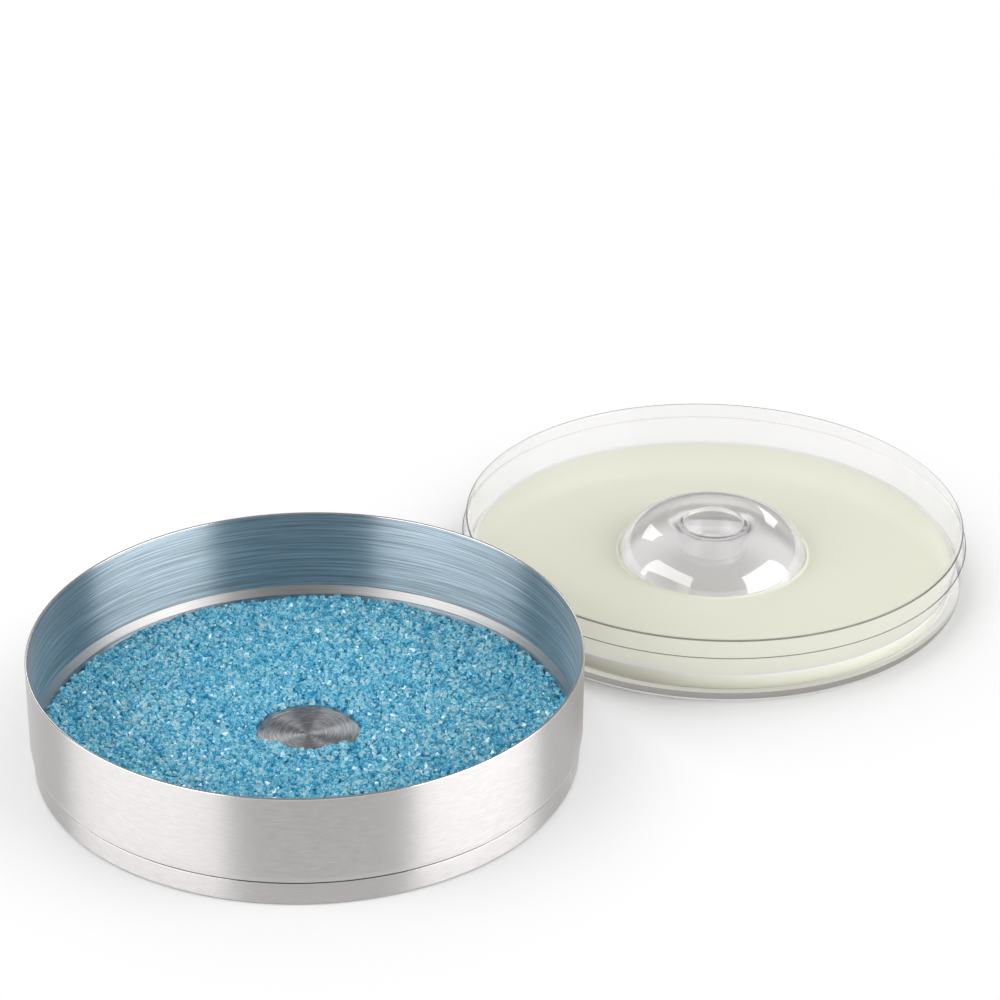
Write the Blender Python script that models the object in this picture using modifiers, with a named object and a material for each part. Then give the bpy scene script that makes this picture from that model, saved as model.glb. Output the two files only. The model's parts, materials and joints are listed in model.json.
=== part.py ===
"""Cocktail rimmer of two round parts: a drawn steel dish for rimming sugar, and a clear moulded tray for
juice, which turned over is the dish's lid.

Metres, +Z up. The origin is the middle of the dish's flat base, on the surface that both parts stand on.
"""
import bpy
from math import cos, hypot, pi, sin

# Sizes shared by the two parts
OUTER_DIAMETER = 0.140      # dish wall and tray shoulder, flush when the tray closes the dish
NECK_CLEARANCE = 0.0003     # radial, tray neck in the dish's mouth
SEAT_GAP = 0.0003           # between any piece and what it rests on or lies in
STANDING_GAP = 0.0016       # between the dish and the tray where they stand side by side
TRAY_BEARING = 0.709        # radians from +X, direction from the dish to the tray

# Steel dish
DISH_HEIGHT = 0.0303
SHEET = 0.0007
STEP_LEVEL = 0.0066         # middle of the drawn step above the base
STEP_RISE = 0.0006
STEP_INSET = 0.0005         # how far the foot is drawn in from the wall
FOOT_TAPER = 0.0003
FOOT_FILLET = 0.0007
STEP_FILLET = 0.0004

# Turned boss on the dish's floor
BOSS_DIAMETER = 0.027
BOSS_HEIGHT = 0.0029
BOSS_CHAMFER = 0.0004
BOSS_DISH_DEPTH = 0.00025   # its top is turned slightly hollow inside a flat rim
BOSS_LAND = 0.0016

# Bed of sugar in the dish
SUGAR_DEPTH = 0.0044
SUGAR_EDGE_FALL = 0.0006
SUGAR_LUMP_HEIGHT = 0.0008  # from hollow to top of the lumps in its surface
SUGAR_LUMP_SPACING = 0.0130

# Clear tray
SHOULDER_HEIGHT = 0.0142
NECK_HEIGHT = 0.0048
NECK_WALL = 0.0013
OUTER_DRAFT = 0.0007
INNER_DRAFT = 0.0005
TRAY_FLOOR = 0.0016
TRAY_CORNER = 0.0018        # inside, where the floor meets the wall
TRAY_BASE_FILLET = 0.0015
SHOULDER_EDGE = 0.0003
FOOT_RING_HEIGHT = 0.0008
FOOT_RING_WIDTH = 0.0026
FOOT_RING_INSET = 0.0016    # foot ring in from the bottom of the outer wall

# Dome in the middle of the tray, with its well
DOME_DIAMETER = 0.0536
DOME_CREST_DIAMETER = 0.0264
DOME_BELOW_RIM = 0.0016
DOME_WALL = 0.0013
DOME_BASE_FILLET = 0.0016
WELL_DIAMETER = 0.0167
WELL_DEPTH = 0.0090
WELL_LIP_DROP = 0.0013
WELL_CORNER = 0.0010

# Juice in the tray
JUICE_DEPTH = 0.0052

# Fineness
TURNS = 64                  # flats round every large turned shape
BOSS_TURNS = 48
ARC_STEPS = 3
DOME_STEPS = 7
LUMP_STEPS = 2              # rings of the sugar's surface to each lump
CLOUDS_SWING = 0.45         # share of its full range that the lumps' noise covers

WHOLE_RUN = 0.98            # share of a straight run that one fillet may use
SHARED_RUN = 0.49           # and each of two fillets on the same run
MERGE = 0.00001


def fillet(before, corner, after, radius, steps=ARC_STEPS):
    """Points of the arc that rounds a corner between two straight runs of a profile.

    A run that a second fillet shares gives each of them just under half of its length.
    """
    runs = [(end[0] - corner[0], end[1] - corner[1], end[2]) for end in (before, after)]
    lengths = [hypot(across, up) for across, up, _ in runs]
    units = [(across / length, up / length) for (across, up, _), length in zip(runs, lengths)]
    half_cos = hypot(units[0][0] + units[1][0], units[0][1] + units[1][1]) / 2
    half_sin = (1 - half_cos * half_cos) ** 0.5
    shares = [SHARED_RUN if shared else WHOLE_RUN for _, _, shared in runs]
    setback = min(radius * half_cos / half_sin, lengths[0] * shares[0], lengths[1] * shares[1])
    start, end = ((corner[0] + unit[0] * setback, corner[1] + unit[1] * setback) for unit in units)
    points = []
    for index in range(steps + 1):
        along = index / steps
        weights = ((1 - along) ** 2, 2 * along * (1 - along) * half_sin, along ** 2)
        total = sum(weights)
        points.append(tuple(sum(weight * place[axis] for weight, place in zip(weights, (start, corner, end)))
                            / total for axis in (0, 1)))
    return points


def rounded(corners):
    """A profile from corners (radius, height, fillet), with each fillet above zero turned into an arc."""
    points = []
    for index, corner in enumerate(corners):
        if corner[2] > 0:
            points += fillet(corners[index - 1], corner, corners[index + 1], corner[2])
        else:
            points.append(corner[:2])
    return points


def quarter_ellipse(centre, half_width, half_height, start, steps=DOME_STEPS):
    """Corners of a quarter ellipse, from the angle start, in radians, running anticlockwise in (r, z)."""
    corners = []
    for index in range(steps + 1):
        angle = start + pi / 2 * index / steps
        corners.append((centre[0] + half_width * cos(angle), centre[1] + half_height * sin(angle), 0))
    return corners


def material(name, colour, roughness, metallic=0.0, transmission=0.0):
    """A Principled material in the piece's own colour."""
    made = bpy.data.materials.new(name)
    made.use_nodes = True
    shader = made.node_tree.nodes["Principled BSDF"]
    shader.inputs["Base Color"].default_value = (*colour, 1)
    shader.inputs["Roughness"].default_value = roughness
    shader.inputs["Metallic"].default_value = metallic
    shader.inputs["Transmission Weight"].default_value = transmission
    made.diffuse_color = (*colour, 1)
    return made


def turned(name, profile, turns, finish, collection, parent):
    """A piece turned about its own vertical axis: a profile with a Screw modifier."""
    mesh = bpy.data.meshes.new(name)
    vertices = [(radius, 0, height) for radius, height in profile]
    closes = profile[0][0] > 0
    edges = [(index, index + 1) for index in range(len(profile) - 1)]
    if closes:
        edges.append((len(profile) - 1, 0))
    mesh.from_pydata(vertices, edges, [])
    mesh.materials.append(finish)
    piece = bpy.data.objects.new(name, mesh)
    collection.objects.link(piece)
    piece.parent = parent
    screw = piece.modifiers.new("Turn", "SCREW")
    screw.steps = screw.render_steps = turns
    screw.use_merge_vertices = True
    screw.merge_threshold = MERGE
    screw.use_smooth_shade = True
    return piece


def steel_dish(collection, parent, finish):
    """Drawn shell of even sheet: rounded rim, plain wall, step down to a narrower foot, flat base."""
    outside = OUTER_DIAMETER / 2
    foot_outside = outside - STEP_INSET
    step_top = STEP_LEVEL + STEP_RISE / 2
    step_bottom = STEP_LEVEL - STEP_RISE / 2
    foot_inside = foot_outside - SHEET
    profile = rounded([
        (0, SHEET, 0),
        (foot_inside - FOOT_TAPER, SHEET, FOOT_FILLET - SHEET),
        (foot_inside, step_bottom, STEP_FILLET),
        (outside - SHEET, step_top, STEP_FILLET),
        (outside - SHEET, DISH_HEIGHT, SHEET / 2),
        (outside, DISH_HEIGHT, SHEET / 2),
        (outside, step_top - SHEET / 2, STEP_FILLET),
        (foot_outside, step_bottom - SHEET / 2, STEP_FILLET),
        (foot_outside - FOOT_TAPER, 0, FOOT_FILLET),
        (0, 0, 0),
    ])
    return turned("steel_dish", profile, TURNS, finish, collection, parent)


def centre_boss(collection, parent, finish):
    """Turned puck fixed on the dish's floor, with a shallow hollow in its top."""
    radius = BOSS_DIAMETER / 2
    bottom = SHEET + SEAT_GAP
    top = bottom + BOSS_HEIGHT
    profile = rounded([
        (0, top - BOSS_DISH_DEPTH, 0),
        (radius - BOSS_LAND, top - BOSS_DISH_DEPTH, 0),
        (radius - BOSS_LAND + BOSS_DISH_DEPTH, top, 0),
        (radius, top, BOSS_CHAMFER),
        (radius, bottom, 0),
        (0, bottom, 0),
    ])
    return turned("centre_boss", profile, BOSS_TURNS, finish, collection, parent)


def rimming_sugar(collection, parent, finish):
    """Ring of sugar on the dish's floor, round the boss and below the step, with a lumpy surface."""
    inner = BOSS_DIAMETER / 2 + SEAT_GAP
    outer = OUTER_DIAMETER / 2 - STEP_INSET - SHEET - FOOT_TAPER - SEAT_GAP
    bottom = SHEET + SEAT_GAP
    level = bottom + SUGAR_DEPTH
    width = outer - inner - 2 * SUGAR_EDGE_FALL
    rings = max(1, round(width / SUGAR_LUMP_SPACING * LUMP_STEPS))
    surface = [(inner + SUGAR_EDGE_FALL + width * index / rings, level) for index in range(rings + 1)]
    profile = [
        (inner, bottom),
        (inner, level - SUGAR_EDGE_FALL),
        *surface,
        (outer, level - SUGAR_EDGE_FALL),
        (outer, bottom + FOOT_FILLET),
        (outer - FOOT_FILLET, bottom),
    ]
    piece = turned("rimming_sugar", profile, TURNS, finish, collection, parent)
    top = piece.vertex_groups.new(name="top")
    top.add([index for index, (_, height) in enumerate(profile) if height == level], 1, "REPLACE")
    lumps = bpy.data.textures.new("sugar_lumps", "CLOUDS")
    lumps.noise_scale = SUGAR_LUMP_SPACING
    heave = piece.modifiers.new("Lumps", "DISPLACE")
    heave.texture = lumps
    heave.vertex_group = "top"
    heave.direction = "Z"
    heave.strength = SUGAR_LUMP_HEIGHT / CLOUDS_SWING
    return piece


def tray_sizes():
    """Radii and heights of the tray that more than one of its surfaces shares."""
    neck = OUTER_DIAMETER / 2 - SHEET - NECK_CLEARANCE
    sizes = {
        "rim": SHOULDER_HEIGHT + NECK_HEIGHT,
        "neck": neck,
        "mouth": neck - NECK_WALL,
        "floor": FOOT_RING_HEIGHT + TRAY_FLOOR,
        "dome": DOME_DIAMETER / 2,
        "crest": DOME_CREST_DIAMETER / 2,
        "well": WELL_DIAMETER / 2,
        "base": OUTER_DIAMETER / 2 - OUTER_DRAFT,
    }
    sizes["dome_top"] = sizes["rim"] - DOME_BELOW_RIM
    sizes["spring"] = sizes["floor"] + DOME_BASE_FILLET
    sizes["well_floor"] = sizes["dome_top"] - WELL_DEPTH
    return sizes


def dome_outside(sizes):
    """Corners over the dome's upper surface, from the well's lip out to the floor."""
    crest, top = sizes["crest"], sizes["dome_top"]
    lip = quarter_ellipse((crest, top - WELL_LIP_DROP), sizes["well"] - crest, WELL_LIP_DROP, 0, ARC_STEPS)
    crown = quarter_ellipse((crest, sizes["spring"]), sizes["dome"] - crest, top - sizes["spring"], 0)
    return lip + crown[::-1][1:] + [(sizes["dome"], sizes["floor"], DOME_BASE_FILLET)]


def dome_inside(sizes):
    """Corners over the dome's hollow underside, from the tray's underside in to the well's outside."""
    crest, top = sizes["crest"], sizes["dome_top"] - DOME_WALL
    springing = sizes["spring"] - DOME_WALL
    hollow = sizes["dome"] - DOME_WALL
    stem = sizes["well"] + DOME_WALL
    crown = quarter_ellipse((crest, springing), hollow - crest, top - springing, 0)
    lip = quarter_ellipse((crest, top - WELL_LIP_DROP), stem - crest, WELL_LIP_DROP, 0, ARC_STEPS)
    return [(hollow, FOOT_RING_HEIGHT, DOME_BASE_FILLET)] + crown + lip[::-1][1:]


def tray_lid(collection, parent, finish):
    """Clear moulding: neck, shoulder, drafted wall, foot ring, and a hollow dome with a closed well."""
    sizes = tray_sizes()
    rim, neck, mouth = sizes["rim"], sizes["neck"], sizes["mouth"]
    foot_outside = sizes["base"] - FOOT_RING_INSET
    foot_inside = foot_outside - FOOT_RING_WIDTH
    stem = sizes["well"] + DOME_WALL
    well_underside = sizes["well_floor"] - DOME_WALL
    upper = [
        (0, sizes["well_floor"], 0),
        (sizes["well"], sizes["well_floor"], WELL_CORNER),
    ] + dome_outside(sizes)
    wall = [
        (mouth - INNER_DRAFT, sizes["floor"], TRAY_CORNER),
        (mouth, rim, NECK_WALL / 3),
        (neck, rim, NECK_WALL / 3),
        (neck, SHOULDER_HEIGHT, 0),
        (OUTER_DIAMETER / 2, SHOULDER_HEIGHT, SHOULDER_EDGE),
        (sizes["base"], FOOT_RING_HEIGHT, TRAY_BASE_FILLET),
    ]
    foot = [
        (foot_outside, FOOT_RING_HEIGHT, 0),
        (foot_outside, 0, 0),
        (foot_inside, 0, 0),
        (foot_inside, FOOT_RING_HEIGHT, 0),
    ]
    under = dome_inside(sizes) + [
        (stem, well_underside, WELL_CORNER),
        (0, well_underside, 0),
    ]
    return turned("tray_lid", rounded(upper + wall + foot + under), TURNS, finish, collection, parent)


def lime_juice(collection, parent, finish):
    """Ring of juice that fills the tray's channel to its depth, clear of the moulding by the seat gap."""
    sizes = tray_sizes()
    bottom = sizes["floor"] + SEAT_GAP
    level = sizes["floor"] + JUICE_DEPTH
    crest, spring = sizes["crest"], sizes["spring"]
    dome_rise = (level - spring) / (sizes["dome_top"] - spring)
    inner_level = crest + (sizes["dome"] - crest) * (1 - dome_rise * dome_rise) ** 0.5 + SEAT_GAP
    inner = sizes["dome"] + SEAT_GAP
    outer = sizes["mouth"] - INNER_DRAFT - SEAT_GAP
    profile = rounded([
        (inner + DOME_BASE_FILLET, bottom, 0),
        (inner, bottom + DOME_BASE_FILLET, 0),
        (inner_level, level, 0),
        (outer, level, 0),
        (outer, bottom + TRAY_CORNER, 0),
        (outer - TRAY_CORNER, bottom, 0),
    ])
    return turned("lime_juice", profile, TURNS, finish, collection, parent)


def main():
    for leftover in list(bpy.data.objects):
        bpy.data.objects.remove(leftover)
    rimmer = bpy.data.collections.new("cocktail_rimmer")
    bpy.context.scene.collection.children.link(rimmer)

    brushed = material("brushed_steel", (0.62, 0.61, 0.59), 0.34, metallic=1.0)
    boss_steel = material("turned_steel", (0.52, 0.53, 0.54), 0.26, metallic=1.0)
    clear = material("clear_plastic", (0.93, 0.94, 0.94), 0.05, transmission=0.95)
    sugar = material("blue_sugar", (0.12, 0.42, 0.66), 0.45)
    juice = material("lime_juice", (0.82, 0.86, 0.66), 0.05, transmission=0.8)

    dish_axis = bpy.data.objects.new("dish_axis", None)
    rimmer.objects.link(dish_axis)
    tray_axis = bpy.data.objects.new("tray_axis", None)
    rimmer.objects.link(tray_axis)
    spacing = OUTER_DIAMETER + STANDING_GAP
    tray_axis.location = (spacing * cos(TRAY_BEARING), spacing * sin(TRAY_BEARING), 0)

    steel_dish(rimmer, dish_axis, brushed)
    centre_boss(rimmer, dish_axis, boss_steel)
    rimming_sugar(rimmer, dish_axis, sugar)
    tray_lid(rimmer, tray_axis, clear)
    lime_juice(rimmer, tray_axis, juice)


if __name__ == "__main__":
    main()
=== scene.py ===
"""Looks of a cocktail rimmer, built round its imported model: a brushed steel dish of coarse blue sugar
beside a clear moulded tray of pale juice.

Metres, +Z up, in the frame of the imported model. The origin is the middle of the dish's base.
"""
import json
from math import cos, hypot, pi, radians, sin, tan
from random import Random

import bpy
from mathutils import Matrix, Vector

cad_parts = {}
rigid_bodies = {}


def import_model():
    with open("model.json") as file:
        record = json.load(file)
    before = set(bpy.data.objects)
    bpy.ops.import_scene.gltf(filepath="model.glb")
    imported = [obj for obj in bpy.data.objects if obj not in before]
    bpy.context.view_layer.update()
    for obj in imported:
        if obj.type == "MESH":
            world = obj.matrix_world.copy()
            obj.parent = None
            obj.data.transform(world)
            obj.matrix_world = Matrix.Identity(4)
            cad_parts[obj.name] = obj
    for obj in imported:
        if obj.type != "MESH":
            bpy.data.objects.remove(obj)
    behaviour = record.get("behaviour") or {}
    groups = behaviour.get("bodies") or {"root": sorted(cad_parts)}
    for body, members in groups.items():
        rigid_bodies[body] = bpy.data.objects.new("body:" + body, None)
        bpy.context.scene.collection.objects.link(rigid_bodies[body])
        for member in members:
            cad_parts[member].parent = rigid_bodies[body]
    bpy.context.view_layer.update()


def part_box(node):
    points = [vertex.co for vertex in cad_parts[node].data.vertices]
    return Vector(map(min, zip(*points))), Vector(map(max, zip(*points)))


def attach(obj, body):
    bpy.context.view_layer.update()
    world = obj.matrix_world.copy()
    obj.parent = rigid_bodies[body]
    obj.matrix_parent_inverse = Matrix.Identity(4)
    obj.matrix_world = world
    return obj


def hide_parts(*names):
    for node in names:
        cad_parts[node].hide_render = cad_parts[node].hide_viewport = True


bl_info = {
    "name": "Cocktail Rimmer Looks",
    "version": (1, 0, 0),
    "blender": (4, 5, 0),
    "location": "View3D > Sidebar > Rimmer",
    "description": "Dresses a steel sugar dish and its clear juice tray",
    "category": "Object",
}

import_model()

DISH_LOW, DISH_HIGH = (Vector(corner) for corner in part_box("steel_dish"))
TRAY_LOW, TRAY_HIGH = (Vector(corner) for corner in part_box("tray_lid"))
BOSS_LOW, BOSS_HIGH = (Vector(corner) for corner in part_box("centre_boss"))
SUGAR_LOW, SUGAR_HIGH = (Vector(corner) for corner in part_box("rimming_sugar"))
JUICE_HIGH = Vector(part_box("lime_juice")[1])

OUTER_RADIUS = (DISH_HIGH.x - DISH_LOW.x) / 2
TRAY_MIDDLE = (TRAY_LOW + TRAY_HIGH) / 2
TRAY_AXIS = Vector((TRAY_MIDDLE.x, TRAY_MIDDLE.y, 0))
DISH_AXIS = Vector((0, 0, 0))

MERGE = 0.000002
SMOOTH_ANGLE = radians(32)
DISH_BODY = "dish"
TRAY_BODY = "tray"
FINE_LINES = 0.88  # share of the fine lines in the streaks of brushed steel
LET_THROUGH = 0.72  # share of the light that the plastic lets through to what is under it
OUTWEIGH = 100  # more than the plastic's surfaces that one ray can cross
CLOUD_RANGE = 0.45  # from the lowest to the highest value of a cloud texture
# The dark lines at the rim and the shoulder are painted shade.
DARK_RIM = 0.8  # share of the rim's rounded edge that shows as a dark line
DARK_SHOULDER = 0.6  # the same at the shoulder
RUN_SHARE = 0.98  # share of a straight run that the fillets at its ends can take

# How far below its level, or from the plastic, a band of the juice begins, and where it is whole: the painted
# sheen on its top, and the painted highlight along its waterline.
TOP_SKIN = (0.0010, 0.0007)
LINE_SKIN = (0.0004, 0.0002)
LINE_AT_WALL = (0.0006, 0.0002)
LINE_AT_DOME = (0.0011, 0.0006)

# What each random draw starts from. The loose grains add the number of their layer.
CRYSTAL_SEED = 5
SEEDS = {"place": 11, "lift": 31, "turn": 51, "size": 71, "tint": 91, "facet": 97}

# Each lamp's name, its directions in degrees from +X, its bottom, its top, and its radiance over lamp_level.
LAMPS = (
    ("Left softbox", (-187, -117), 0.02, 1.57, 0.90),
    ("Right softbox", (-46, 10), 0.02, 1.32, 1.18),
    ("Left back lamp", (103, 128), 0.72, 1.25, 0.75),
    ("Right back lamp", (64, 76), 0.42, 0.7, 0.7),
)


def length(name, description, default):
    """A property that holds a length in metres."""
    return bpy.props.FloatProperty(name=name, description=description, default=default, min=0,
                                   unit="LENGTH", precision=5)


def colour(name, description, default):
    """A property that holds a scene-linear colour."""
    return bpy.props.FloatVectorProperty(name=name, description=description, default=default,
                                         subtype="COLOR", size=3, min=0, max=1)


def share(name, description, default, top=1.0):
    """A property that holds a plain factor."""
    return bpy.props.FloatProperty(name=name, description=description, default=default, min=0, max=top)


def count(name, description, default):
    """A property that holds a whole number."""
    return bpy.props.IntProperty(name=name, description=description, default=default, min=1)


class RimmerDish(bpy.types.PropertyGroup):
    """Sizes and finish of the drawn steel dish and its boss."""
    sheet: length("Sheet", "Thickness of the drawn steel", 0.0007)
    step_level: length("Step level", "Height of the middle of the step above the base", 0.0066)
    step_rise: length("Step rise", "Height that the step takes", 0.0006)
    step_inset: length("Step inset", "How far the foot is drawn in from the wall", 0.0005)
    step_fillet: length("Step fillet", "Rounding of the step", 0.00015)
    groove: length("Groove", "Depth of the groove between the wall and the foot", 0.0003)
    ledge: length("Ledge", "Height of the polished band inside, over the step", 0.0022)
    ledge_inset: length("Ledge inset", "How far the polished band comes in from the wall", 0.00115)
    ledge_fillet: length("Ledge fillet", "Rounding at both edges of the polished band", 0.0005)
    foot_taper: length("Foot taper", "How far the foot leans in towards the base", 0.0003)
    foot_fillet: length("Foot fillet", "Rounding between foot and base", 0.0007)
    flats: count("Flats", "Faces round each turned shape", 256)
    steel: colour("Steel", "Colour of the steel", (0.735, 0.715, 0.71))
    # Darker, blue-tinted copy of the steel for the inside: painted shade and a painted reflection of the
    # sugar.
    inside_shade_and_reflection_steel: colour("Inside steel", "Colour of the steel inside", (0.60, 0.685, 0.74))
    # Near-black steel in the groove and where the foot meets the floor: painted shade.
    groove_shade_steel: colour("Crease steel", "Colour of the steel in the groove", (0.16, 0.155, 0.15))
    # A darker copy of the steel on the polished band over the step: painted shade.
    ledge_steel: colour("Ledge steel", "Colour of the band over the step, inside", (0.50, 0.485, 0.475))
    roughness: share("Roughness", "Roughness of the brushed wall", 0.42)
    stretch: share("Stretch", "How far the brushing stretches a highlight", 1.0)
    boss_land: length("Boss land", "Width of the flat rim round the boss's hollow top", 0.0016)
    boss_hollow: length("Boss hollow", "Depth of the hollow in the boss's top", 0.00006)
    boss_chamfer: length("Boss chamfer", "Rounding of the boss's edge", 0.0002)
    boss_steel: colour("Boss steel", "Colour of the turned boss", (0.58, 0.58, 0.60))


class RimmerSugar(bpy.types.PropertyGroup):
    """Sizes and colours of the sugar bed."""
    grain: length("Grain", "Size of a middling grain", 0.00135)
    spread: share("Spread", "How much the grains differ in size", 0.35)
    gap: length("Gap", "Least distance between two grains of one layer", 0.00136)
    bed_level: length("Bed level", "Height of the packed bed under the loose grains", 0.0040)
    lump_height: length("Lump height", "From hollow to top of the lumps in the bed", 0.0008)
    lump_spacing: length("Lump spacing", "Between two lumps", 0.0130)
    flats: count("Flats", "Faces round the bed", 256)
    layers: count("Layers", "Layers of loose grains on the bed", 4)
    steepest: share("Steepest", "Cosine of the steepest slope that grains lie on", 0.35)
    kinds: count("Kinds", "Kinds of grain", 6)
    # The darkest blue: painted shade in the hollows of the bed and on the darkest facets of the grains.
    hollow_shade_blue: colour("Deep blue", "Colour in the hollows of the bed", (0.04, 0.38, 0.61))
    blue: colour("Blue", "Colour of a middling grain", (0.15, 0.66, 0.92))
    pale: colour("Pale blue", "Colour of the pale facets", (0.34, 0.86, 1.0))
    # A painted glint: the palest colour that facets and noise spots are painted with.
    glint: colour("Glint", "Colour of the palest facets", (0.74, 1.0, 1.0))
    clearness: share("Clearness", "How much light goes into a grain", 0.3)
    let_through: share("Let through", "How much light a grain lets through to those under it", 0.7)
    edge_fall: length("Edge fall", "How far the bed falls at the wall", 0.0004)
    edge_reach: length("Edge reach", "Width of the bed's slope at the wall", 0.0040)
    spill_radius: length("Spill radius", "From the boss's middle to the middle of the spilt grains", 0.0128)
    spill_width: length("Spill width", "Width of the spilt grains", 0.0056)
    spill_rise: length("Spill rise", "How far the spilt grains rise above the boss", 0.0012)
    spill_start: length("Spill start", "How far before the boss's middle the spilt grains start", 0.0075)


class RimmerTray(bpy.types.PropertyGroup):
    """Sizes and finish of the clear tray and its juice."""
    clearance: length("Neck clearance", "Radial gap between the tray's neck and the dish's mouth", 0.0003)
    shoulder: length("Shoulder", "Height of the shoulder", 0.0142)
    neck_wall: length("Neck wall", "Thickness of the wall at the neck", 0.0013)
    outer_draft: length("Outer draft", "Draft of the outside below the shoulder", 0.0007)
    inner_draft: length("Inner draft", "Draft of the inside", 0.0005)
    floor: length("Floor", "Thickness of the floor", 0.0016)
    corner: length("Corner", "Rounding inside, where floor meets wall", 0.0018)
    base_fillet: length("Base fillet", "Rounding at the bottom of the outside", 0.0015)
    shoulder_edge: length("Shoulder edge", "Rounding of the shoulder's edge", 0.0003)
    foot_height: length("Foot height", "Height of the foot ring", 0.0008)
    foot_width: length("Foot width", "Width of the foot ring", 0.0026)
    # The band's darkness is painted shade.
    band: length("Band", "Height of the dark band round the bottom of the wall", 0.0026)
    # The strip's darker, juice-coloured tint is painted shade.
    strip: length("Strip", "Height of the strip above the band that shows the juice behind it", 0.0015)
    foot_inset: length("Foot inset", "Foot ring in from the bottom of the wall", 0.0016)
    dome: length("Dome", "Diameter of the dome", 0.0536)
    crest: length("Crest", "Diameter of the dome's crest", 0.0264)
    below_rim: length("Below rim", "Drop from the tray's rim to the dome's crest", 0.0016)
    dome_wall: length("Dome wall", "Thickness of the dome", 0.0013)
    dome_fillet: length("Dome fillet", "Rounding at the foot of the dome", 0.0016)
    well: length("Well", "Diameter of the well", 0.0167)
    well_depth: length("Well depth", "Depth of the well", 0.0090)
    well_corner: length("Well corner", "Rounding at the bottom of the well", 0.0010)
    lip_drop: length("Lip drop", "Height of the roll from crest to well", 0.0013)
    plastic: colour("Plastic", "Tint of the clear plastic", (0.93, 0.925, 0.925))
    # Near-black tint at the rim and the shoulder: painted shade.
    plastic_edge_shade: colour("Plastic edge", "Tint of the plastic at its thick edges", (0.11, 0.106, 0.103))
    # Darker, juice-coloured tint of the plastic above the band: painted shade.
    plastic_strip_shade: colour("Plastic strip", "Tint of the plastic where it shows the juice", (0.62, 0.62, 0.49))
    # Dark tint of the band at the bottom of the wall: painted shade.
    plastic_foot_shade: colour("Plastic foot", "Tint of the plastic at its bottom edge", (0.19, 0.18, 0.172))
    dome_plastic: colour("Dome plastic", "Tint of the plastic of the dome", (0.97, 0.96, 0.965))
    juice: colour("Juice", "Colour of the juice", (0.865, 0.872, 0.735))
    # Paler juice on the top at the wall: a painted sheen.
    juice_edge_sheen: colour("Juice edge", "Colour of the juice's top at the wall", (0.90, 0.90, 0.84))
    # The bright waterline is a painted highlight.
    waterline_highlight: colour("Waterline", "Colour of the juice drawn up at the wall", (0.92, 0.92, 0.90))
    # The paler juice at the wall is a painted sheen.
    edge_reach: length("Edge reach", "Width of the paler juice at the wall", 0.0028)
    cloudiness: share("Cloudiness", "How much light goes through the juice", 0.1)
    wetting: length("Wetting", "How far the juice is drawn up at the walls", 0.0005)
    juice_gap: length("Juice gap", "Between the juice and the plastic", 0.00004)
    flats: count("Flats", "Faces round each turned shape", 256)


class RimmerStage(bpy.types.PropertyGroup):
    """Floor, lamps, sky and camera."""
    lens: bpy.props.FloatProperty(name="Lens", description="Focal length on a 36 mm frame", default=115.2,
                                  min=1, unit="CAMERA")
    camera_place: bpy.props.FloatVectorProperty(name="Camera place", description="Where the camera stands",
                                                default=(0.05165, -0.69023, 0.44235), unit="LENGTH")
    pitch: bpy.props.FloatProperty(name="Pitch", description="How far the camera looks down",
                                   default=0.4912, subtype="ANGLE")
    roll: bpy.props.FloatProperty(name="Roll", description="Turn of the camera about its own axis",
                                  default=0.0115, subtype="ANGLE")
    shift: bpy.props.FloatVectorProperty(name="Shift", description="Shift of the lens", size=2,
                                         default=(-0.0134, -0.0036))
    floor_colour: colour("Floor", "Colour of the floor", (0.93, 0.93, 0.93))
    # Grey of the floor under the tray, glowing where seen through the plastic and lighting the juice from
    # below: a painted shadow.
    under_shadow: colour("Under", "Colour of the floor under the middle of the tray", (0.49, 0.475, 0.455))
    ring_shadow: colour("Ring", "Colour of the floor under the rest of the tray", (0.80, 0.79, 0.78))
    shadow_reach: length("Shadow reach", "How far from the parts the floor has turned white", 0.041)
    lamp_distance: length("Lamp distance", "From the dish to each lamp", 1.4)
    lamp_level: share("Lamp level", "Radiance of a lamp", 2.5, top=10.0)
    sky_level: share("Sky level", "Strength of the sky", 0.56)
    sky_fall: share("Sky fall", "How much weaker the sky is in reflections", 0.25)


class Socket:
    """A node's output that Python's operators act on, each adding a Math node."""

    def __init__(self, maker, output):
        self.maker = maker
        self.output = output

    def _math(self, operation, first, second):
        return self.maker.add("ShaderNodeMath", {"operation": operation}, {0: first, 1: second})

    def __add__(self, other):
        return self._math("ADD", self, other)

    def __radd__(self, other):
        return self._math("ADD", other, self)

    def __sub__(self, other):
        return self._math("SUBTRACT", self, other)

    def __rsub__(self, other):
        return self._math("SUBTRACT", other, self)

    def __mul__(self, other):
        return self._math("MULTIPLY", self, other)

    def __rmul__(self, other):
        return self._math("MULTIPLY", other, self)


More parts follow.
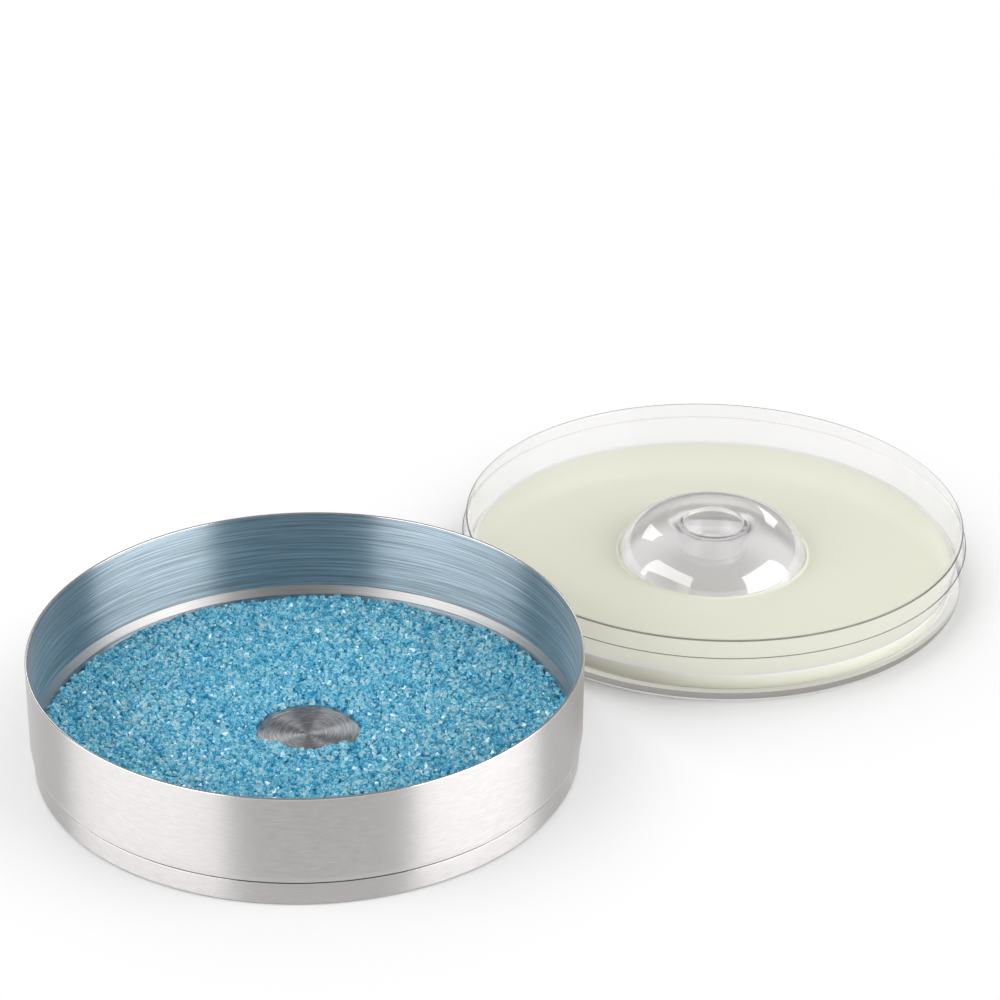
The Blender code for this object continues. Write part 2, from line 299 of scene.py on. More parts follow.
class NodeMaker:
    """Adds nodes to one tree."""

    def __init__(self, tree):
        self.tree = tree

    def add(self, kind, settings=None, inputs=None, output=0):
        """Adds a node, sets its settings, then its sockets, and returns one of its outputs."""
        node = self.tree.nodes.new(kind)
        for name, value in (settings or {}).items():
            if name == "stops":
                self._stops(node.color_ramp, value)
            else:
                setattr(node, name, value)
        for name, value in (inputs or {}).items():
            if isinstance(value, Socket):
                self.tree.links.new(value.output, node.inputs[name])
            else:
                node.inputs[name].default_value = value
        return Socket(self, node.outputs[output]) if node.outputs else None

    def place(self):
        """Object coordinates."""
        return self.add("ShaderNodeTexCoord", output=3)

    def part(self, vector, axis):
        """One coordinate of a vector."""
        return self.add("ShaderNodeSeparateXYZ", None, {0: vector}, axis)

    def ray(self, kind):
        """What kind of ray meets the surface."""
        return self.add("ShaderNodeLightPath", output=kind)

    def clamped(self, operation, first, second):
        """The result of an operation, kept between nought and one."""
        return self.add("ShaderNodeMath", {"operation": operation, "use_clamp": True}, {0: first, 1: second})

    def ranged(self, value, low, high, easing="LINEAR"):
        """Nought where the value is low or less, one where it is high or more."""
        return self.add("ShaderNodeMapRange", {"interpolation_type": easing}, {0: value, 1: low, 2: high})

    def noise(self, vector, scale, detail=1.0, roughness=0.5):
        """Soft noise over a vector."""
        return self.add("ShaderNodeTexNoise", None, {"Vector": vector, "Scale": scale, "Detail": detail,
                                                     "Roughness": roughness})

    def bump(self, strength, distance, height):
        """A normal bent by a height."""
        return self.add("ShaderNodeBump", None,
                        {"Strength": strength, "Distance": distance, "Height": height})

    def tone(self, factor, first, second):
        """A colour between two, each a socket or a colour."""
        first, second = (tone if isinstance(tone, Socket) else (*tone, 1) for tone in (first, second))
        return self.add("ShaderNodeMix", {"data_type": "RGBA"}, {"Factor": factor, 6: first, 7: second}, 2)

    def mixed(self, factor, first, second):
        """A shader between two."""
        return self.add("ShaderNodeMixShader", None, {0: factor, 1: first, 2: second})

    def distance(self, place, axis):
        """How far a place is from the foot of an axis."""
        return self.add("ShaderNodeVectorMath", {"operation": "DISTANCE"}, {0: place, 1: axis}, 1)

    @staticmethod
    def _stops(ramp, stops):
        """Sets a ramp's stops, each a place and a colour."""
        while len(ramp.elements) < len(stops):
            ramp.elements.new(0.5)
        for element, (place, tone) in zip(ramp.elements, stops):
            element.position = place
            element.color = (*tone, 1)


def new_material(name):
    """A material with an empty tree, and its node maker."""
    material = bpy.data.materials.new(name)
    material.use_nodes = True
    material.node_tree.nodes.clear()
    return material, NodeMaker(material.node_tree)


def seen_through(maker):
    """One for what is seen through the plastic, and nought for what lights a dull surface through it."""
    return maker.clamped("SUBTRACT", maker.ray("Transmission Depth"), OUTWEIGH * maker.ray("Diffuse Depth"))


def seen_directly(maker):
    """One for what the camera sees, by itself, in a reflection or through the plastic, else nought."""
    either = maker.clamped("MAXIMUM", maker.ray("Is Camera Ray"), maker.ray("Is Glossy Ray"))
    return maker.clamped("ADD", either, seen_through(maker))


def surface(maker, shader):
    """Links a shader to the tree's output."""
    maker.add("ShaderNodeOutputMaterial", None, {"Surface": shader})


def lit_through(maker, shader, tint, amount):
    """Links a shader that lets an amount of light, tinted, through to what lies in its shadow."""
    clear = maker.add("ShaderNodeBsdfTransparent", None, {"Color": (*tint, 1)})
    surface(maker, maker.mixed(maker.ray("Is Shadow Ray") * amount, shader, clear))


def brushing(maker, along, across):
    """Noise drawn out round the vertical axis: fine lines round a wall, circles on a flat face."""
    place = maker.place()
    parts = [maker.part(place, axis) for axis in range(3)]
    flat = maker.add("ShaderNodeCombineXYZ", None, {0: parts[0], 1: parts[1]})
    radius = maker.distance(flat, DISH_AXIS)
    lines = maker.add("ShaderNodeCombineXYZ", None,
                      {0: parts[0] * along, 1: parts[1] * along, 2: (parts[2] + radius) * across})
    return maker.noise(lines, 1.0, 3.0, 0.6)


def steel_finish(name, tone, roughness, stretch, grain, contrast):
    """Steel brushed round its axis: streaked colour and roughness, and a bump of fine lines.

    The grain is how close the lines lie, in streaks per metre along and across them, and their depth.
    """
    material, maker = new_material(name)
    along, across, depth = grain
    lines = brushing(maker, along, across)
    wide = brushing(maker, along * 0.6, across * 0.5)
    streaks = maker.ranged(lines * FINE_LINES + wide * (1 - FINE_LINES), 0.34, 0.66)
    dark = tuple((1 - contrast) * part for part in tone)
    light = tuple(min(1.0, (1 + contrast * 0.6) * part) for part in tone)
    shader = maker.add("ShaderNodeBsdfPrincipled", None, {
        "Base Color": maker.tone(streaks, dark, light),
        "Metallic": 1.0,
        "Roughness": streaks * 0.10 + (roughness - 0.05),
        "Anisotropic": stretch,
        "Anisotropic Rotation": 0.25,
        "Normal": maker.bump(0.2, depth, lines),
    })
    surface(maker, shader)
    return material


def sugar_finish(sizes):
    """Coarse coloured sugar: each grain its own blue, painted shade on dark facets, painted glints on pale
    facets and noise spots, and sharp glints from a coat on some facets.
    """
    material, maker = new_material("sugar_grains")
    tint = maker.add("ShaderNodeAttribute", {"attribute_name": "tint"}, output=2)
    facet = maker.add("ShaderNodeAttribute", {"attribute_name": "facet"}, output=2)
    chips = maker.noise(maker.place(), 2.6 / sizes.grain)
    sparkle = maker.ranged(chips, 0.32, 0.68)
    # The ramp mixes each grain's own tint with painted light: the per-face value and the sparkle spots paint
    # shade on dark facets and glints on pale ones.
    base = maker.add("ShaderNodeValToRGB", {"stops": [(0.27, sizes.hollow_shade_blue), (0.425, sizes.blue),
                                                      (0.58, sizes.pale), (0.73, sizes.glint)]},
                     {0: tint * 0.3 + facet * 0.3 + sparkle * 0.4})
    shader = maker.add("ShaderNodeBsdfPrincipled", None, {
        "Base Color": base,
        "Roughness": 0.06,
        "IOR": 1.54,
        "Specular IOR Level": 0.3,
        "Transmission Weight": sizes.clearness,
        "Coat Weight": maker.ranged(facet, 0.6, 0.7),
        "Coat IOR": 2.0,
        "Coat Roughness": 0.04,
        "Normal": maker.bump(0.25, sizes.grain * 0.15, chips),
    })
    lit_through(maker, shader, sizes.pale, sizes.let_through)
    return material


def bed_finish(sizes):
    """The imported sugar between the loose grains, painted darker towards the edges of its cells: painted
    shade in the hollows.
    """
    material, maker = new_material("sugar_bed")
    cells = maker.add("ShaderNodeTexVoronoi", None, {"Vector": maker.place(), "Scale": 0.8 / sizes.grain})
    # Darker towards the cells' edges, where the bump is lowest: painted shade.
    base = maker.add("ShaderNodeValToRGB", {"stops": [(0.0, sizes.blue), (0.7, sizes.hollow_shade_blue)]}, {0: cells})
    bump = maker.bump(0.8, sizes.grain * 0.4, 1 - cells)
    surface(maker, maker.add("ShaderNodeBsdfPrincipled", None, {
        "Base Color": base, "Roughness": 0.35, "Normal": bump}))
    return material


def plastic_finish(name, tint, sockets):
    """Polished clear moulded plastic, with the tint and the sockets of one of its regions."""
    material, maker = new_material(name)
    shader = maker.add("ShaderNodeBsdfPrincipled", None, {
        "Base Color": (*tint, 1),
        "Roughness": 0.02,
        "IOR": 1.49,
        "Transmission Weight": 0.97,
        "Coat Weight": 1.0,
        "Coat Roughness": 0.03,
        "Normal": maker.bump(0.012, 0.0003, maker.noise(maker.place(), 60.0)),
        **sockets,
    })
    lit_through(maker, shader, tint, LET_THROUGH)
    return material


def dome_radius(at, height):
    """Radius of the dome's outside at a height above its spring."""
    rise = max(0.0, (height - at["spring"]) / (at["top"] - at["spring"]))
    return at["crest"] + (at["dome"] - at["crest"]) * (1 - rise * rise) ** 0.5


def wall_radius(tray, at, height):
    """Radius of the tray's drafted inside at a height."""
    drop = (at["rim"] - height) / (at["rim"] - at["floor"])
    return at["mouth"] - tray.inner_draft * drop


def juice_finish(tray, at):
    """Cloudy pale juice with a still, glossy top, with a painted sheen on its top at the wall and a painted
    highlight where it is drawn up at the wall and the dome.
    """
    material, maker = new_material("lime_juice")
    place = maker.place()
    thin = tuple(min(1.0, 1.05 * part) for part in tray.juice)
    body = maker.tone(maker.noise(place, 22.0, 3.0), tray.juice, thin)
    level = JUICE_HIGH.z
    wall = wall_radius(tray, at, level)
    dome = dome_radius(at, level)
    radius = maker.distance(place, TRAY_AXIS)
    height = maker.part(place, 2)
    on_top = maker.ranged(height, *(level - depth for depth in TOP_SKIN))
    # The juice's top is painted paler towards the wall: a painted sheen.
    at_wall = maker.ranged(radius, wall - tray.edge_reach, wall, "SMOOTHSTEP")
    at_dome = maker.ranged(radius, *(dome + off for off in LINE_AT_DOME))
    # Where the juice is drawn up at the dome and the wall it gets a painted highlight.
    highlight_band = at_dome + maker.ranged(radius, *(wall - off for off in LINE_AT_WALL))
    line = maker.ranged(height, *(level - depth for depth in LINE_SKIN))
    top = maker.tone(at_wall * on_top, body, tray.juice_edge_sheen)
    shader = maker.add("ShaderNodeBsdfPrincipled", None, {
        "Base Color": maker.tone(highlight_band * line, top, tray.waterline_highlight),
        "Roughness": 0.04,
        "IOR": 1.34,
    })
    within = maker.add("ShaderNodeBsdfTranslucent", None, {"Color": (*tray.juice, 1)})
    surface(maker, maker.mixed(tray.cloudiness, shader, within))
    return material


def fillet(before, corner, after, radius, steps):
    """Points of the arc that rounds a corner between two straight runs of an outline."""
    runs = [(end[0] - corner[0], end[1] - corner[1]) for end in (before, after)]
    lengths = [hypot(*run) for run in runs]
    units = [(run[0] / size, run[1] / size) for run, size in zip(runs, lengths)]
    half_cos = hypot(units[0][0] + units[1][0], units[0][1] + units[1][1]) / 2
    half_sin = (1 - half_cos * half_cos) ** 0.5
    shares = [RUN_SHARE / 2 if end[2] else RUN_SHARE for end in (before, after)]
    setback = min(radius * half_cos / half_sin, lengths[0] * shares[0], lengths[1] * shares[1])
    start, end = ((corner[0] + unit[0] * setback, corner[1] + unit[1] * setback) for unit in units)
    points = []
    for index in range(steps + 1):
        along = index / steps
        weights = ((1 - along) ** 2, 2 * along * (1 - along) * half_sin, along ** 2)
        total = sum(weights)
        points.append(tuple(sum(weight * place[axis] for weight, place in zip(weights, (start, corner, end)))
                            / total for axis in (0, 1)))
    return points


def rounded(corners, steps=6):
    """An outline from corners (radius, height, fillet), with each fillet turned into an arc."""
    points = []
    for index, corner in enumerate(corners):
        if corner[2] > 0:
            points += fillet(corners[index - 1], corner, corners[index + 1], corner[2], steps)
        else:
            points.append(corner[:2])
    return points


def quarter_ellipse(centre, half_width, half_height, steps):
    """Corners of a quarter ellipse from its side to its top, in (radius, height)."""
    angles = [pi / 2 * index / steps for index in range(steps + 1)]
    return [(centre[0] + half_width * cos(angle), centre[1] + half_height * sin(angle), 0)
            for angle in angles]


def deselect_all():
    """Leaves nothing selected, in object mode."""
    if bpy.context.object and bpy.context.object.mode != "OBJECT":
        bpy.ops.object.mode_set(mode="OBJECT")
    bpy.ops.object.select_all(action="DESELECT")


def make_active(piece):
    """Selects one object and makes it active."""
    deselect_all()
    piece.select_set(True)
    bpy.context.view_layer.objects.active = piece


def settle(piece):
    """Puts a piece's object at the origin, unturned and unscaled, with its place in its mesh."""
    make_active(piece)
    bpy.ops.object.transform_apply(location=True, rotation=True, scale=True)


def apply_modifiers(piece):
    """Applies every modifier of a piece, in order."""
    make_active(piece)
    for modifier in list(piece.modifiers):
        bpy.ops.object.modifier_apply(modifier=modifier.name)


def turned(name, outline, axis, flats, finishes, closed=False):
    """A piece spun about a vertical axis from an outline of (radius, height) points."""
    deselect_all()
    start = axis + Vector((outline[0][0], 0, outline[0][1]))
    bpy.ops.mesh.primitive_plane_add(size=0.001, location=start)
    piece = bpy.context.object
    piece.name = piece.data.name = name
    bpy.ops.object.mode_set(mode="EDIT")
    bpy.ops.mesh.merge(type="CENTER")
    bpy.ops.mesh.select_mode(type="VERT")
    for before, after in zip(outline, outline[1:]):
        step = (after[0] - before[0], 0, after[1] - before[1])
        bpy.ops.mesh.extrude_vertices_move(TRANSFORM_OT_translate={"value": step})
    bpy.ops.mesh.select_all(action="SELECT")
    if closed:
        first_and_last(piece, len(outline))
        bpy.ops.mesh.edge_face_add()
        bpy.ops.mesh.select_all(action="SELECT")
    bpy.ops.mesh.spin(steps=flats, angle=2 * pi, center=axis, axis=(0, 0, 1))
    bpy.ops.mesh.select_all(action="SELECT")
    bpy.ops.mesh.remove_doubles(threshold=MERGE)
    bpy.ops.mesh.normals_make_consistent(inside=False)
    bpy.ops.object.mode_set(mode="OBJECT")
    settle(piece)
    bpy.ops.object.shade_smooth_by_angle(angle=SMOOTH_ANGLE)
    for finish in finishes:
        piece.data.materials.append(finish)
    return piece


def first_and_last(piece, points):
    """Selects only the two ends of an outline that is being drawn."""
    bpy.ops.object.mode_set(mode="OBJECT")
    for edge in piece.data.edges:
        edge.select = False
    for vertex in piece.data.vertices:
        vertex.select = vertex.index in (0, points - 1)
    bpy.ops.object.mode_set(mode="EDIT")


def tray_radii(tray):
    """Radii and heights of the tray that more than one outline uses."""
    dish = bpy.context.scene.rimmer_dish
    neck = OUTER_RADIUS - dish.sheet - tray.clearance
    rim = TRAY_HIGH.z
    floor = tray.foot_height + tray.floor
    return {
        "rim": rim,
        "neck": neck,
        "mouth": neck - tray.neck_wall,
        "floor": floor,
        "dome": tray.dome / 2,
        "crest": tray.crest / 2,
        "well": tray.well / 2,
        "base": OUTER_RADIUS - tray.outer_draft,
        "top": rim - tray.below_rim,
        "spring": floor + tray.dome_fillet,
        "well_floor": rim - tray.below_rim - tray.well_depth,
    }


class RIMMER_OT_steel_dish(bpy.types.Operator):
    """Drawn steel dish with its brushed wall, step, ledge and polished rim"""
    bl_idname = "rimmer.steel_dish"
    bl_label = "Steel Dish"

    def execute(self, context):
        dish = context.scene.rimmer_dish
        top = DISH_HIGH.z
        foot_outside = OUTER_RADIUS - dish.step_inset
        foot_inside = OUTER_RADIUS - dish.sheet - dish.ledge_inset
        step_top = dish.step_level + dish.step_rise / 2
        step_bottom = dish.step_level - dish.step_rise / 2
        half = dish.sheet / 2
        outline = rounded([
            (0, dish.sheet, 0),
            (foot_inside - dish.foot_taper, dish.sheet, dish.foot_fillet - dish.sheet),
            (foot_inside, step_bottom - dish.ledge / 5, dish.ledge_fillet),
            (OUTER_RADIUS - dish.sheet, step_bottom + dish.ledge * 4 / 5, dish.ledge_fillet),
            (OUTER_RADIUS - dish.sheet, top, half),
            (OUTER_RADIUS, top, half),
            (OUTER_RADIUS, step_top + dish.ledge / 2, dish.ledge),
            (OUTER_RADIUS - dish.groove, dish.step_level, dish.step_fillet),
            (foot_outside - dish.groove, dish.step_level - dish.groove / 3, 0),
            (foot_outside - dish.groove, dish.step_level - dish.groove, 0),
            (foot_outside, dish.step_level - 1.5 * dish.groove, dish.step_fillet),
            (foot_outside - dish.foot_taper, 0, dish.foot_fillet),
            (0, 0, 0),
        ])
        brushed = dish.roughness, dish.stretch
        finishes = (steel_finish(*finish) for finish in (
            ("brushed_steel", dish.steel, *brushed, (350.0, 2400.0, 0.00001), 0.08),
            # The inside's darker blue steel is painted shade and a painted reflection of the sugar.
            ("brushed_steel_inside", dish.inside_shade_and_reflection_steel, *brushed, (36.0, 3400.0, 0.00002), 0.45),
            ("polished_steel", dish.steel, 0.14, 0.0, (60.0, 2600.0, 0.000002), 0.04),
            # The near-black steel of the groove and the contact line is painted shade.
            ("creased_steel", dish.groove_shade_steel, 0.5, 0.0, (60.0, 2600.0, 0.000005), 0.1),
            # The polished band's darker steel is painted shade.
            ("ledge_steel", dish.ledge_steel, 0.36, 0.0, (60.0, 2600.0, 0.000002), 0.15)))
        piece = turned("steel_dish_shell", outline, DISH_AXIS, dish.flats, finishes)
        # The finishes after the first, which every other face keeps.
        inside, polished, groove_and_contact_shade, ledge = range(1, 5)
        for face in piece.data.polygons:
            outward = face.normal.dot(Vector((face.center.x, face.center.y, 0)).normalized())
            level = face.center.z
            on_rim = level > top - half
            # The groove and the lowest edge of the foot, at the floor, are painted dark: painted shade.
            at_groove = outward > -0.5 and abs(level - dish.step_level + dish.groove / 2) < 0.7 * dish.groove
            at_contact = outward > 0 and level < dish.foot_fillet / 3
            on_lip = outward > 0 and 0 < dish.step_level - dish.groove - level < dish.groove
            # The band over the step, inside, gets the darker steel: painted shade.
            on_ledge = outward < 0 and step_bottom - dish.ledge < level < step_bottom + dish.ledge
            if at_groove or at_contact:
                face.material_index = groove_and_contact_shade
            elif on_ledge:
                face.material_index = ledge
            elif on_rim or on_lip:
                face.material_index = polished
            # Inner faces and upward faces get the darker blue steel: painted shade and a painted reflection
            # of the sugar.
            elif outward < 0 or face.normal.z > 0.5:
                face.material_index = inside
        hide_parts("steel_dish")
        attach(piece, DISH_BODY)
        return {"FINISHED"}


class RIMMER_OT_centre_boss(bpy.types.Operator):
    """Turned steel boss in the middle of the dish"""
    bl_idname = "rimmer.centre_boss"
    bl_label = "Centre Boss"

    def execute(self, context):
        dish = context.scene.rimmer_dish
        radius = (BOSS_HIGH.x - BOSS_LOW.x) / 2
        top, bottom = BOSS_HIGH.z, BOSS_LOW.z
        land = radius - dish.boss_land
        outline = rounded([
            (0, top - dish.boss_hollow, 0),
            (land, top - dish.boss_hollow, 0),
            (land + dish.boss_hollow, top, 0),
            (radius, top, dish.boss_chamfer),
            (radius, bottom, 0),
            (0, bottom, 0),
        ])
        finish = steel_finish("turned_steel", dish.boss_steel, 0.38, 1.0, (340.0, 3600.0, 0.00003), 0.5)
        piece = turned("centre_boss_turned", outline, DISH_AXIS, dish.flats // 2, [finish])
        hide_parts("centre_boss")
        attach(piece, DISH_BODY)
        return {"FINISHED"}


class RIMMER_OT_sugar(bpy.types.Operator):
    """Bed of coarse sugar: a packed base and loose grains scattered over it"""
    bl_idname = "rimmer.sugar"
    bl_label = "Sugar"

    def execute(self, context):
        sugar = context.scene.rimmer_sugar
        bed = self.bed(sugar)
        crystals = self.crystals(context, sugar)
        finish = sugar_finish(sugar)
        pieces = [bed]
        for layer in range(sugar.layers):
            grains = self.scatter(bed, crystals, sugar, layer)
            grains.data.materials.clear()
            grains.data.materials.append(finish)
            pieces.append(grains)
        for crystal in list(crystals.objects):
            bpy.data.objects.remove(crystal)
        bpy.data.collections.remove(crystals)
        for piece in pieces:
            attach(piece, DISH_BODY)
        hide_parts("rimming_sugar")
        return {"FINISHED"}

    def bed(self, sugar):
        """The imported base, a ring with the lumps that the sugar's surface has."""
        boss_gap, wall_gap, round_off = 0.0002, 0.0004, 0.0005
        inner = (BOSS_HIGH.x - BOSS_LOW.x) / 2 + boss_gap
        outer = (SUGAR_HIGH.x - SUGAR_LOW.x) / 2 - wall_gap
        low = SUGAR_LOW.z
        rings = 40
        corners = [(inner, low, 0)]
        for index in range(rings + 1):
            radius = inner + (outer - inner) * index / rings
            slope = max(0.0, 1 - (outer - radius) / sugar.edge_reach)
            corners.append((radius, sugar.bed_level - sugar.edge_fall * slope ** 2, 0))
        corners += [(outer, low + round_off, 0), (outer - round_off, low, 0)]
        outline = rounded(corners)
        piece = turned("sugar_bed", outline, DISH_AXIS, sugar.flats, [bed_finish(sugar)], closed=True)
        lumps = bpy.data.textures.new("sugar_lumps", "CLOUDS")
        lumps.noise_scale = sugar.lump_spacing
        top = piece.vertex_groups.new(name="top")
        lowest = sugar.bed_level - 1.1 * sugar.edge_fall
        top.add([point.index for point in piece.data.vertices if point.co.z > lowest], 1, "REPLACE")
        heave = piece.modifiers.new("Lumps", "DISPLACE")
        heave.texture = lumps
        heave.vertex_group = "top"
        heave.direction = "Z"
        heave.strength = sugar.lump_height / CLOUD_RANGE
        apply_modifiers(piece)
        self.spill(piece, sugar)
        return piece

    def spill(self, bed, sugar):
        """Sugar spilt over the front of the boss's rim, joined to the bed."""
        deselect_all()
        bpy.ops.mesh.primitive_torus_add(major_radius=sugar.spill_radius, minor_radius=sugar.spill_width / 2,
                                         major_segments=48, minor_segments=12, location=(0, 0, BOSS_HIGH.z))
        spill = bpy.context.object
        spill.scale.z = 2 * sugar.spill_rise / sugar.spill_width
        settle(spill)
        bpy.ops.object.mode_set(mode="EDIT")
        for normal in ((0, 0, -1), (0, 1, 0)):
            bpy.ops.mesh.select_all(action="SELECT")
            bpy.ops.mesh.bisect(plane_co=(0, -sugar.spill_start, BOSS_HIGH.z), plane_no=normal,
                                use_fill=True, clear_outer=True)
        bpy.ops.object.mode_set(mode="OBJECT")
        spill.data.materials.append(bed.data.materials[0])
        bed.select_set(True)
        bpy.context.view_layer.objects.active = bed
        bpy.ops.object.join()

    def crystals(self, context, sugar):
        """A few kinds of grain, each a block with corners cut off, in a collection of their own."""
        kinds = bpy.data.collections.new("sugar_crystals")
        context.scene.collection.children.link(kinds)
        draw = Random(CRYSTAL_SEED)
        for number in range(sugar.kinds):
            deselect_all()
            bpy.ops.mesh.primitive_cube_add(size=sugar.grain)
            crystal = bpy.context.object
            crystal.name = crystal.data.name = f"sugar_crystal_{number + 1}"
            crystal.scale = (draw.uniform(0.7, 0.95), draw.uniform(0.6, 0.85), draw.uniform(0.9, 1.15))
            bpy.ops.object.transform_apply(location=False, rotation=False, scale=True)
            bpy.ops.object.mode_set(mode="EDIT")
            for _ in range(5):
                slant = Vector([draw.choice((-1, 1)) * draw.uniform(0.5, 1) for _ in range(3)]).normalized()
                bpy.ops.mesh.select_all(action="SELECT")
                bpy.ops.mesh.bisect(plane_co=slant * sugar.grain * draw.uniform(0.42, 0.5), plane_no=slant,
                                    use_fill=True, clear_outer=True)
            bpy.ops.object.mode_set(mode="OBJECT")
            for home in crystal.users_collection:
                home.objects.unlink(crystal)
            kinds.objects.link(crystal)
        return kinds

    def scatter(self, bed, crystals, sugar, layer):
        """Loose grains over the bed's top, turned every way, each with its own tint."""
        make_active(bed)
        bpy.ops.object.duplicate()
        piece = bpy.context.object
        piece.name = piece.data.name = f"sugar_grains_{layer + 1}"
        tree = bpy.data.node_groups.new(f"Sugar scatter {layer + 1}", "GeometryNodeTree")
        tree.interface.new_socket("Geometry", in_out="INPUT", socket_type="NodeSocketGeometry")
        tree.interface.new_socket("Geometry", in_out="OUTPUT", socket_type="NodeSocketGeometry")
        maker = NodeMaker(tree)
        mesh = maker.add("NodeGroupInput")
        width = SUGAR_HIGH.x - SUGAR_LOW.x
        field = maker.add("GeometryNodeMeshGrid", None, {0: width, 1: width, 2: 2, 3: 2})
        points = maker.add("GeometryNodeDistributePointsOnFaces", {"distribute_method": "POISSON"}, {
            "Mesh": field, "Distance Min": sugar.gap, "Density Max": 4.0 / sugar.gap ** 2,
            "Seed": SEEDS["place"] + layer})
        above = maker.add("ShaderNodeVectorMath", {"operation": "ADD"},
                          {0: maker.add("GeometryNodeInputPosition"), 1: (0, 0, 2 * SUGAR_HIGH.z)})
        target = {"Target Geometry": mesh, "Source Position": above}
        landing, facing = (maker.add("GeometryNodeRaycast", None, target, kind)
                           for kind in ("Hit Position", "Hit Normal"))
        missed = maker.add("FunctionNodeCompare", {"operation": "LESS_THAN"},
                           {0: maker.part(facing, 2), 1: sugar.steepest})
        caught = maker.add("GeometryNodeDeleteGeometry", {"domain": "POINT"},
                           {"Geometry": points, "Selection": missed})

        def drawn(low, high, use):
            """A number or a vector drawn for each point or face, with a seed for each use and layer."""
            kind, first, output = ("FLOAT_VECTOR", 0, 0) if isinstance(low, tuple) else ("FLOAT", 2, 1)
            return maker.add("FunctionNodeRandomValue", {"data_type": kind},
                             {first: low, first + 1: high, "Seed": SEEDS[use] + layer}, output)

        def stored(geometry, domain, name, value):
            """Geometry with a value stored on it under a name."""
            return maker.add("GeometryNodeStoreNamedAttribute", {"data_type": "FLOAT", "domain": domain},
                             {"Geometry": geometry, "Name": name, "Value": value})

        least, most = (sugar.grain * share for share in (0.1 + 0.12 * layer, 0.35 + 0.16 * layer))
        lift = drawn((0, 0, least), (0, 0, most), "lift")
        placed = maker.add("GeometryNodeSetPosition", None, {
            "Geometry": caught, "Position": landing, "Offset": lift})
        kinds = maker.add("GeometryNodeCollectionInfo", None,
                          {"Collection": crystals, "Separate Children": True})
        copies = maker.add("GeometryNodeInstanceOnPoints", None, {
            "Points": placed, "Instance": kinds, "Pick Instance": True,
            "Rotation": drawn((0, 0, 0), (2 * pi, 2 * pi, 2 * pi), "turn"),
            "Scale": drawn(1 - sugar.spread, 1 + sugar.spread, "size")})
        tinted = stored(copies, "INSTANCE", "tint", drawn(0.0, 1.0, "tint"))
        real = maker.add("GeometryNodeRealizeInstances", None, {"Geometry": tinted})
        cut = stored(real, "FACE", "facet", drawn(0.0, 1.0, "facet"))
        maker.add("NodeGroupOutput", None, {"Geometry": cut})
        modifier = piece.modifiers.new("Scatter", "NODES")
        modifier.node_group = tree
        apply_modifiers(piece)
        bpy.ops.object.shade_flat()
        return piece


